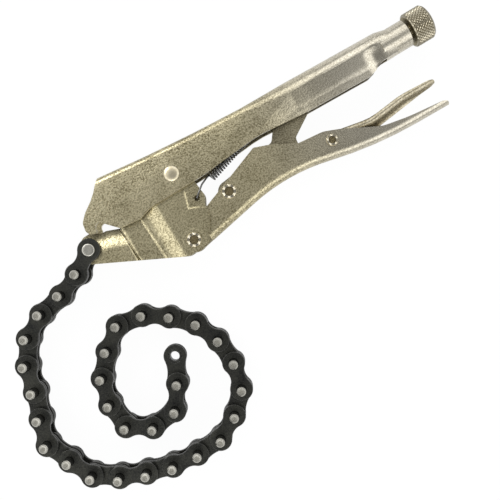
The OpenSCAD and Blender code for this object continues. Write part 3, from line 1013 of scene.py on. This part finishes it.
@dataclass
class ReturnSpring:
    """Extension spring from the jaw's hole, through its coil, to the peg inside the body.

    The hook is a row of points over the plate, measured from a point above the hole. The run-in and the lead
    are the straight stretches before and after the coil.
    """

    rack: FinishRack
    wire: float = 0.5
    coil_r: float = 1.95
    pitch: float = 1.6
    turns: int = 18
    slope: float = 17.0
    start: tuple[float, float, float] = (65.4, -7.7, 4.2)
    hole: Point = (53.0, -13.3)
    plate: float = 6.75
    sheet: float = 2.2
    hook: tuple[tuple[float, float, float], ...] = (
        (0.2, 0.2, -0.45), (0.7, 0.6, 0.0), (2.5, 2.1, 0.0), (4.4, 3.6, 0.0), (6.2, 5.0, -0.8))
    hook_gap: float = 0.3
    hook_foot: float = 0.4
    run_in: Span = (2.4, 0.9)
    lead: float = 3.0
    drop: float = 3.0
    bend: float = 0.9
    bend_cut: float = 0.26
    per_turn: int = 24
    sides: int = 10

    def path(self) -> list[Vector]:
        """Points of the wire's middle line, in metres."""
        tilt = math.radians(self.slope)
        ahead = Vector((math.cos(tilt), math.sin(tilt), 0))
        side = Vector((-math.sin(tilt), math.cos(tilt), 0))
        begin = Vector(self.start)
        hole = Vector((*self.hole, self.plate))
        over = hole + UP * (self.wire + self.hook_gap)
        front = [
            *(hole - UP * deep for deep in (self.sheet, self.hook_foot)),
            *(over + Vector(step) for step in self.hook),
            *(begin - ahead * gap + side * self.coil_r for gap in self.run_in),
        ]
        steps = self.turns * self.per_turn
        coil = []
        for k in range(steps + 1):
            angle = math.tau * k / self.per_turn
            out = math.cos(angle) * side + math.sin(angle) * UP
            coil.append(begin + ahead * (self.pitch * k / self.per_turn) + out * self.coil_r)
        end = begin + ahead * (self.turns * self.pitch)
        tail = ((0.5 * self.lead, 0.0), (self.lead - self.bend, 0.0),
                (self.lead - self.bend_cut, self.bend_cut),
                (self.lead, self.bend), (self.lead, self.bend + self.drop))
        back = [end + ahead * far + side * (self.coil_r - down) for far, down in tail]
        return [p * MM for p in front + coil + back]

    def build(self) -> None:
        """Make the spring from the jaw's hole to the peg in the body, fixed where it is drawn."""
        path = self.path()
        bm = bmesh.new()
        swept(bm, path, self.wire * MM, self.sides)
        obj = Piece("spring_coil", "body", "spring_wire", ("return_spring",)).finish(
            bm, [self.rack.get(SPRING_WIRE)])
        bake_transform(obj)


@dataclass
class Chain:
    """Chain of waisted plates on long pins."""

    frame: Frame
    rack: FinishRack
    links: int = 31
    plate_edge: float = 0.4
    rim: float = 0.75
    dish: float = 0.08

    def build(self) -> None:
        """Make every link, and the pins of the links that hold them."""
        for number in range(1, self.links + 1):
            self.plates(number)
            if number % 2 == 0:
                self.pins(number)

    def plates(self, number: int) -> None:
        """Make one link's plates and bushes.

        Args:
            number: the link's place in the chain, from the jaw.
        """
        node = f"chain_link_{number:02d}"
        materials = [self.rack.get(finish) for finish in (CHAIN_OXIDE, CHAIN_EDGE)]
        piece = Piece(f"link_{number:02d}_plates", node, "chain_oxide", (node,))
        round_edges(piece.ride(solid_copy(self.frame, node), materials), self.plate_edge)

    def pins(self, number: int) -> None:
        """Make the two pins pressed into a link.

        Args:
            number: the link's place in the chain, from the jaw.
        """
        node = f"chain_pins_{number:02d}"
        bm = solid_copy(self.frame, node)
        ends = [f for f in bm.faces if abs(f.normal.z) > PIN_END]
        for face in bm.faces:
            if abs(face.normal.z) > PIN_BEVEL:
                face.material_index = 1
        bmesh.ops.inset_individual(bm, faces=ends, thickness=self.rim * MM, depth=-self.dish * MM,
                                   use_even_offset=True)
        for face in ends:
            face.material_index = 2
        materials = [self.rack.get(finish) for finish in (CHAIN_OXIDE, PIN_RIM, PIN_FACE)]
        piece = Piece(f"pins_{number:02d}_ground", f"chain_link_{number:02d}", "pin_steel", (node,))
        piece.ride(bm, materials)


@dataclass
class Studio:
    """White table, soft light from all round and a camera straight above the tool.

    The sky gives the tent's brightness at heights from 0, the horizon, to 1, straight above.
    """

    middle: Point = (63.0, -52.0)
    floor_z: float = -12.5
    floor_half: float = 2000.0
    floor_roughness: float = 0.9
    floor_white: float = 0.96
    sky: tuple[Point, ...] = (
        (0.0, 0.526), (0.13, 0.526), (0.2, 0.14), (0.27, 0.2), (0.38, 0.62), (0.52, 0.95), (0.79, 1.0),
        (0.866, 0.82), (0.94, 0.24), (0.978, 0.11), (1.0, 0.095))
    sky_strength: float = 1.9
    panel_size: float = 600.0
    camera_at: tuple[float, float, float] = (63.2, -52.5, 403.6)
    camera_clip: float = 10.0
    turn: float = 31.0
    focal_px: float = 728.0
    image_px: float = 500.0

    def build(self) -> None:
        """Set up the floor, the light and the camera."""
        self.floor()
        self.light()
        self.camera()
        bpy.context.scene.view_settings.view_transform = "Standard"

    def floor(self) -> None:
        """Lay a white table under the pins, which shows as plain white with a faint shadow."""
        bm = bmesh.new()
        place = Matrix.Translation(Vector((*self.middle, self.floor_z)) * MM)
        bmesh.ops.create_grid(bm, x_segments=1, y_segments=1, size=self.floor_half * MM, matrix=place)
        mesh = bpy.data.meshes.new("table")
        bm.to_mesh(mesh)
        bm.free()
        table = bpy.data.objects.new("table", mesh)
        bpy.context.scene.collection.objects.link(table)
        material = bpy.data.materials.new("white table")
        material.use_nodes = True
        tree = material.node_tree
        matt = tree.nodes["Principled BSDF"]
        matt.inputs["Base Color"].default_value = linear("#f2f2f2")
        matt.inputs["Roughness"].default_value = self.floor_roughness
        glow = add_node(tree, "ShaderNodeEmission", {"Color": linear("#ffffff"), "Strength": 1.0})
        rays = add_node(tree, "ShaderNodeLightPath")
        seen = rays.outputs["Is Camera Ray"]
        for kind in ("Is Glossy Ray", "Is Transmission Ray"):
            pair = {0: seen, 1: rays.outputs[kind]}
            seen = add_node(tree, "ShaderNodeMath", pair, operation="MAXIMUM").outputs[0]
        share = add_node(tree, "ShaderNodeMath", {0: seen, 1: self.floor_white}, operation="MULTIPLY")
        both = add_node(tree, "ShaderNodeMixShader",
                        {0: share.outputs[0], 1: matt.outputs[0], 2: glow.outputs[0]})
        tree.links.new(both.outputs[0], tree.nodes["Material Output"].inputs["Surface"])
        mesh.materials.append(material)

    def light(self) -> None:
        """Light the tool from a tent, dark overhead and bright round the sides, and from two panels."""
        world = bpy.data.worlds.new("light tent")
        world.use_nodes = True
        tree = world.node_tree
        way = add_node(tree, "ShaderNodeTexCoord").outputs["Generated"]
        height = add_node(tree, "ShaderNodeSeparateXYZ", {0: way}).outputs["Z"]
        ramp = add_node(tree, "ShaderNodeValToRGB", {0: height})
        for place, _ in self.sky[1:-1]:
            ramp.color_ramp.elements.new(place)
        for stop, (place, level) in zip(ramp.color_ramp.elements, self.sky):
            stop.position = place
            stop.color = (level, level, level, 1.0)
        back = tree.nodes["Background"]
        tree.links.new(ramp.outputs[0], back.inputs["Color"])
        back.inputs["Strength"].default_value = self.sky_strength
        bpy.context.scene.world = world
        self.panel("key panel", Vector((-250, 750, 750)) * MM, 4.0)
        self.panel("fill panel", Vector((-350, -750, 600)) * MM, 2.0)

    def panel(self, name: str, at: Vector, power: float) -> None:
        """Hang a soft light that faces the tool.

        Args:
            name: the light's name.
            at: its place in metres.
            power: its power in watts.
        """
        data = bpy.data.lights.new(name, "AREA")
        data.shape = "DISK"
        data.size = self.panel_size * MM
        data.energy = power
        obj = bpy.data.objects.new(name, data)
        bpy.context.scene.collection.objects.link(obj)
        aim = Vector((*self.middle, 0)) * MM - at
        obj.matrix_world = Matrix.Translation(at) @ aim.to_track_quat("-Z", "Y").to_matrix().to_4x4()

    def camera(self) -> None:
        """Put the camera above the tool, turned as the picture is."""
        data = bpy.data.cameras.new("camera")
        data.sensor_fit = "HORIZONTAL"
        data.angle = 2 * math.atan(self.image_px / 2 / self.focal_px)
        data.clip_start = self.camera_clip * MM
        obj = bpy.data.objects.new("camera", data)
        bpy.context.scene.collection.objects.link(obj)
        place = Matrix.Translation(Vector(self.camera_at) * MM)
        obj.matrix_world = place @ Matrix.Rotation(-math.radians(self.turn), 4, "Z")
        bpy.context.scene.camera = obj


RIVETS = (
    Rivet("jaw_rivet", "body", (48, 5), 3.2, 4.3, 9.1, HeadStyle.DOME),
    Rivet("lever_rivet", "jaw", (40, -32), 3.0, 4.1, 6.75, HeadStyle.CRIMPED),
    Rivet("link_rivet", "lever", (70, -19), 3.0, 4.1, 4.4, HeadStyle.CRIMPED),
    Rivet("release_rivet", "lever", (133, -24), 2.2, 3.3, 4.4, HeadStyle.CRIMPED, lobes=5),
    Rivet("anchor_rivet", "jaw", (-12.2, -7.2), 2.5, 3.6, 7.3, HeadStyle.BUTTON),
)


def main() -> None:
    """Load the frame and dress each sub-assembly."""
    logging.basicConfig(level=logging.INFO, format="%(name)s %(message)s")
    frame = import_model()
    rack = FinishRack()
    Studio().build()
    SheetMetal(frame, rack).build()
    for rivet in RIVETS:
        rivet.build(rack)
    AdjustingScrew(rack).build()
    ReturnSpring(rack).build()
    Chain(frame, rack).build()


if __name__ == "__main__":
    main()
